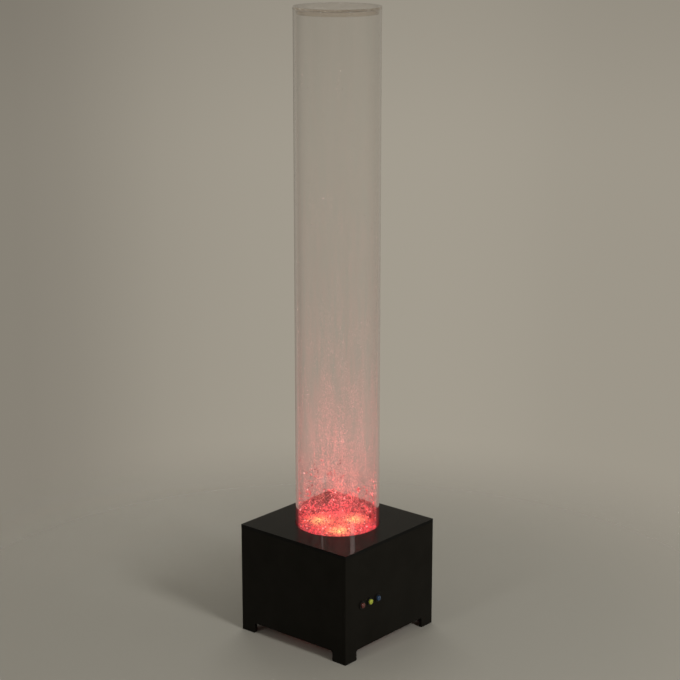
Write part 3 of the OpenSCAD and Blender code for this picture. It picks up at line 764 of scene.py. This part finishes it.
# %% Bead bed
ROW_PITCH = 0.866           # distance between the rows of a hexagonal grid, for a pitch of 1
SCATTER = 0.16              # how far a bead is off its place, for a pitch of 1
SHEET_RINGS, SHEET_SEGMENTS = 24, 96


def hexagonal_disc(radius, pitch):
    rows = int(radius / (pitch * ROW_PITCH)) + 1
    spots = [((i + 0.5 * (j % 2)) * pitch, j * pitch * ROW_PITCH)
             for j in range(-rows, rows + 1) for i in range(-rows, rows + 1)]
    spots = np.array(spots)
    return spots[np.hypot(*spots.T) < radius]


def bed_layer(pitch, keep, low, high, sizes):
    spots = hexagonal_disc(bed_radius - BEAD, pitch)
    spots = spots[rng.random(len(spots)) < keep]
    spots = spots + rng.normal(scale=SCATTER * pitch, size=spots.shape)
    reach = np.hypot(*spots.T)
    spots *= np.minimum(1, (bed_radius - BEAD) / np.maximum(reach, 1e-9))[:, None]
    radii = rng.uniform(*sizes, len(spots)) * BEAD
    heights = rng.uniform(low, high, len(spots))
    return np.column_stack([spots, heights]), radii


lower, lower_radii = bed_layer(2 * BEAD, 1.0, bed_top - 1.8 * BEAD, bed_top - 0.7 * BEAD, (0.7, 1.05))
upper, upper_radii = bed_layer(2.2 * BEAD, 0.45, bed_top - 0.3 * BEAD, bed_top + 1.0 * BEAD, (0.6, 1.15))
bed_centres, bed_radii = np.vstack([lower, upper]), np.concatenate([lower_radii, upper_radii])
bed_mesh = bead_mesh("bead_layer", bed_centres, bed_radii, rng.random(len(bed_radii)))
show("bead_layer", bed_mesh, "pale_beads", "base", "bead_bed")

sheet_top = bed_top - 1.8 * BEAD        # level of the lowest beads' centres
sheet_profile = [(bed_radius * k / SHEET_RINGS, sheet_top) for k in range(1, SHEET_RINGS + 1)]
sheet_profile += [(bed_radius, bed_low), (bed_radius / SHEET_RINGS, bed_low)]
sheet_mesh = turned("bead_underlay", sheet_profile, SHEET_SEGMENTS)
for vertex in sheet_mesh.vertices:
    if vertex.co.z > (bed_low + sheet_top) / 2:
        vertex.co.z += rng.uniform(-0.3, 0.3) * BEAD
# The underlay takes the beads' material, so it shows their painted deep red and, with no glow number, only
# a dim painted glow.
show("bead_underlay", sheet_mesh, "pale_beads", "base")
print("bed beads", len(lower), len(upper))

# %% [markdown]
# Static holds beads on the inside of the tube: densely for the first few centimetres above
# the bed, and ever more thinly up to about eighty. They gather in small clusters. The
# photograph shows far more of them on the side away from the camera, so the angle round the
# tube is drawn again, up to three times, when it falls on the near side.

# %% Clinging beads
CLUSTER = 0.0032                        # spread of the beads in one cluster
HIGHEST = 0.80                          # no bead is higher above the bed
NEAR_SIDE = AZIMUTH - math.pi / 2       # compass direction of the camera
REDRAWS = 3
PRESSED = 0.96                          # a clinging bead's centre is this many radii off the wall
CLUSTERS = [                            # clusters, mean height, most beads in one, sizes in BEAD
    (270, 0.020, 7, (0.6, 1.3)),
    (60, 0.07, 3, (0.25, 0.42)),
    (420, 0.34, 1, (0.32, 0.58)),
]


def angles_off_camera(count):
    angles = rng.uniform(0, 2 * math.pi, count)
    for _ in range(REDRAWS):
        near = np.cos(angles - NEAR_SIDE) > 0.1
        angles[near] = rng.uniform(0, 2 * math.pi, near.sum())
    return angles


def clinging(clusters, mean_height, most, sizes):
    each = rng.integers(1, most + 1, clusters)
    drift = rng.normal(scale=CLUSTER, size=(2, each.sum()))
    heights = np.abs(np.repeat(rng.exponential(mean_height, clusters), each) + drift[0])
    angles = np.repeat(angles_off_camera(clusters), each) + drift[1] / bore_radius
    radii = rng.uniform(*sizes, len(heights)) * BEAD
    # a cluster's glow sets its painted glow and its painted lit or shaded tone
    glow = np.repeat(rng.uniform(0.0, 0.8, clusters), each) * rng.uniform(0.6, 1.2, len(heights))
    heights, angles, radii, glow = (a[heights < HIGHEST] for a in (heights, angles, radii, glow))
    out = bore_radius - radii * PRESSED
    centres = np.column_stack([out * np.cos(angles), out * np.sin(angles), bed_top + heights])
    return centres, radii, glow


drawn = [clinging(*numbers) for numbers in CLUSTERS]
wall_centres, wall_radii, wall_glow = (np.concatenate(parts) for parts in zip(*drawn))
wall_mesh = bead_mesh("clinging_beads", wall_centres, wall_radii, wall_glow)
show("clinging_beads", wall_mesh, "pale_beads", "base")
print("clinging beads", len(wall_centres))

# %% [markdown]
# The rest is in the air. Most are the finest specks, thousands of them, which a photograph
# shows as a red haze: it is dense for the first dozen centimetres and thins out upwards. They
# rise in plumes, each a small upright cloud, and they move while the shutter is open, so each
# is drawn out a little along Z. A volume would be smoother, but it couldn't be exported as a
# mesh.

# %% Blown beads
PLUME_WIDTH, PLUME_HEIGHT, STREAM_WIDTH = 0.0034, 0.018, 0.034
WALL_GAP = 0.002            # no speck in the air is nearer to the wall
STREAMS = [                 # plumes, specks in each, half height, steepness, sizes in BEAD, stretch
    (230, 86, 0.14, 3.2, (0.075, 0.12), (3.0, 7.0)),
    (60, 64, 0.36, 4.0, (0.075, 0.12), (3.0, 7.0)),
    (40, 4, 0.20, 3.0, (0.14, 0.22), (1.5, 4.0)),
]


def heights_like_glow(count, half, steepness):
    """Random heights above the bed whose density is even at first and halves at one height."""
    grid = np.linspace(0, HIGHEST, 400)
    density = 1 / (1 + (grid / half) ** steepness)
    return np.interp(rng.random(count), np.cumsum(density) / density.sum(), grid)


def plumes(count, each, half, steepness, sizes, stretch):
    hearts = np.column_stack([rng.normal(scale=STREAM_WIDTH, size=(count, 2)),
                              heights_like_glow(count, half, steepness)])
    spread = (PLUME_WIDTH, PLUME_WIDTH, PLUME_HEIGHT)
    centres = np.repeat(hearts, each, axis=0) + rng.normal(scale=spread, size=(count * each, 3))
    centres[:, 2] = bed_top + np.abs(centres[:, 2])
    centres = centres[np.hypot(centres[:, 0], centres[:, 1]) < bore_radius - WALL_GAP]
    return centres, rng.uniform(*sizes, len(centres)) * BEAD, rng.uniform(*stretch, len(centres))


drawn = [plumes(*numbers) for numbers in STREAMS]
air_centres, air_radii, air_stretch = (np.concatenate(parts) for parts in zip(*drawn))
# a speck's glow sets its painted glow and its painted lit or shaded tone
air_glow = rng.uniform(0.6, 1.4, len(air_radii))
air_mesh = bead_mesh("blown_beads", air_centres, air_radii, air_glow, SPECK, air_stretch)
show("blown_beads", air_mesh, "pale_beads", "base")
print("blown beads", len(air_centres))

# %% [markdown]
# ## Studio
# The lamp stands on a plain floor that fades into a backdrop. A real paper backdrop is never
# evenly lit: it is brightest a little right of the lamp and falls off to both sides. The world
# shader gives it that fall-off by compass direction and by height, so it stays put when
# another view is rendered. A few levels with a smooth curve along them are enough.

# %% Backdrop
BACKDROP = (0.372, 0.338, 0.278)
VIEW_TURN = math.radians(40.4)      # compass direction of the view, from +X towards +Y
SIDE_LEVELS = {                     # level by degrees to the right of the view
    -120: 0.90, -45: 0.90, -20: 0.76, -13: 0.65, -9.6: 0.64, -7.4: 0.755, -5.2: 0.90,
    -2.5: 0.945, 2.5: 1.0, 5.5: 0.965, 7.7: 0.905, 60: 0.90,
}
TOP_FALL = 0.14                     # how much darker it is at the top
TOP_START, TOP_END = -0.17, -0.05   # upward part of the view's direction where that sets in and ends

world = bpy.data.worlds.new("backdrop")
world.use_nodes = True
sky = world.node_tree
sky_x, sky_y, sky_z = add(sky, "SeparateXYZ", i0=add(sky, "TexCoord").outputs["Generated"]).outputs
turn = calc(sky, "SUBTRACT", VIEW_TURN, calc(sky, "ARCTAN2", sky_y, sky_x))
share = add(sky, "MapRange", Value=turn, From_Min=-math.pi, From_Max=math.pi).outputs[0]
ramp = add(sky, "ValToRGB", i0=share)
ramp.color_ramp.interpolation = "B_SPLINE"
while len(ramp.color_ramp.elements) < len(SIDE_LEVELS):
    ramp.color_ramp.elements.new(1.0)
for stop, (degrees, side_level) in zip(ramp.color_ramp.elements, SIDE_LEVELS.items()):
    stop.position = 0.5 + degrees / 360
    stop.color = (side_level, side_level, side_level, 1.0)
top = add(sky, "MapRange", {"interpolation_type": "SMOOTHSTEP"}, Value=sky_z, From_Min=TOP_START,
          From_Max=TOP_END, To_Min=1.0, To_Max=1 - TOP_FALL).outputs[0]
shade = dimmed(sky, ramp.outputs[0], top)
feed(sky, sky.nodes["Background"].inputs["Color"], blend_colours(sky, 1.0, BACKDROP, shade, "MULTIPLY"))
bpy.context.scene.world = world
print("backdrop with", len(ramp.color_ramp.elements), "levels")

# %% [markdown]
# The floor is matt and keeps the shadow of the box. It fades out well away from the lamp, so
# no horizon shows, and it is clear from below, so that the underside can be seen.

# %% Floor
FLOOR_TONE = (0.318, 0.313, 0.287)
FLOOR_RADIUS, FADE_START, FADE_END = 3.0, 0.42, 1.15
FLOOR_SEGMENTS = 96


def floor_material():
    material, tree, shader = new_material("pale_floor")
    feed(tree, shader.inputs["Base Color"], FLOOR_TONE)
    shader.inputs["Roughness"].default_value = 0.9
    shader.inputs["Specular IOR Level"].default_value = 0.0
    where = add(tree, "TexCoord").outputs["Object"]
    reach = add(tree, "VectorMath", {"operation": "LENGTH"}, i0=where).outputs["Value"]
    fade = add(tree, "MapRange", {"interpolation_type": "SMOOTHSTEP"}, Value=reach, From_Min=FADE_START,
               From_Max=FADE_END).outputs[0]
    fade = calc(tree, "MAXIMUM", fade, add(tree, "NewGeometry").outputs["Backfacing"])
    clear = add(tree, "BsdfTransparent")
    mixed = add(tree, "MixShader", i0=fade, i1=shader.outputs[0], i2=clear.outputs[0])
    feed(tree, tree.nodes["Material Output"].inputs["Surface"], mixed.outputs[0])
    return material


floor_mesh = bpy.data.meshes.new("studio_floor")
floor_edge = [(FLOOR_RADIUS * math.cos(a), FLOOR_RADIUS * math.sin(a), 0)
              for a in np.linspace(0, 2 * math.pi, FLOOR_SEGMENTS, endpoint=False)]
floor_mesh.from_pydata(floor_edge, [], [tuple(range(FLOOR_SEGMENTS))])
floor_mesh.materials.append(floor_material())
studio_floor = bpy.data.objects.new("studio_floor", floor_mesh)
bpy.context.scene.collection.objects.link(studio_floor)
print("floor", FLOOR_RADIUS, "m, fading out at", FADE_END, "m")

# %% [markdown]
# Three softboxes light the lamp: a tall one on the right of the camera, a narrow one on the
# left, and a broad one high behind the lamp, which keeps the floor in front of the box in soft
# shade. They stand high, so that the tube mirrors them only into the polished deck, where the
# photograph shows two pale stripes. The right one is the strongest and throws the box's
# shadow to the left.

# %% Softboxes
SOFTBOX_TINT = (1.0, 0.97, 0.92)
SOFTBOX_AIM = Vector((0, 0, 0.6))
SOFTBOXES = {    # degrees from the camera, distance, height, watts, width, length
    "softbox_left": (-42, 3.0, 1.9, 13.0, 0.24, 1.45),
    "softbox_right": (42, 3.0, 1.9, 66.0, 0.75, 1.45),
    "softbox_back": (180, 2.3, 2.6, 28.0, 2.2, 1.6),
}


def area_lamp(name, watts, size, location, aim, color=(1, 1, 1), shape="RECTANGLE"):
    data = bpy.data.lights.new(name, "AREA")
    data.shape, data.energy, data.color = shape, watts, color
    data.size, data.size_y = size
    lamp = bpy.data.objects.new(name, data)
    lamp.location = location
    lamp.rotation_euler = (aim - location).to_track_quat("-Z", "Y").to_euler()
    lamp.visible_camera = False
    lamp.visible_transmission = False
    bpy.context.scene.collection.objects.link(lamp)
    return lamp


for name, (off_camera, distance, height, watts, *size) in SOFTBOXES.items():
    spot = distance * direction(AZIMUTH + math.radians(off_camera), 0) + Vector((0, 0, height))
    area_lamp(name, watts, size, spot, SOFTBOX_AIM, SOFTBOX_TINT)
    print(name, [round(x, 2) for x in spot], watts, "W")

# %% [markdown]
# The bed lights what is above it. A red disc just over the beads stands for the light that
# comes up between them, and a small one under the base for what leaks down past the fan and
# out of the slots. Both are hidden from view, also through the tube and in the deck.

# %% Light of the lamp itself
RED_LIGHT = (1.0, 0.11, 0.11)
UP, DOWN = Vector((0, 0, 1)), Vector((0, 0, -1))
RED_DISCS = {       # watts, width, height and aim
    "bed_light": (0.16, 1.7 * bed_radius, bed_top + 2.2 * BEAD, UP),
    "slot_light": (0.06, bed_radius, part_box("bottom_plate")[0].z - 0.002, DOWN),
}
for name, (watts, width, height, aim) in RED_DISCS.items():
    lamp = area_lamp(name, watts, (width, width), Vector((0, 0, height)), aim, RED_LIGHT, "DISK")
    lamp.visible_glossy = False
    print(name, "at", round(height, 4), watts, "W")
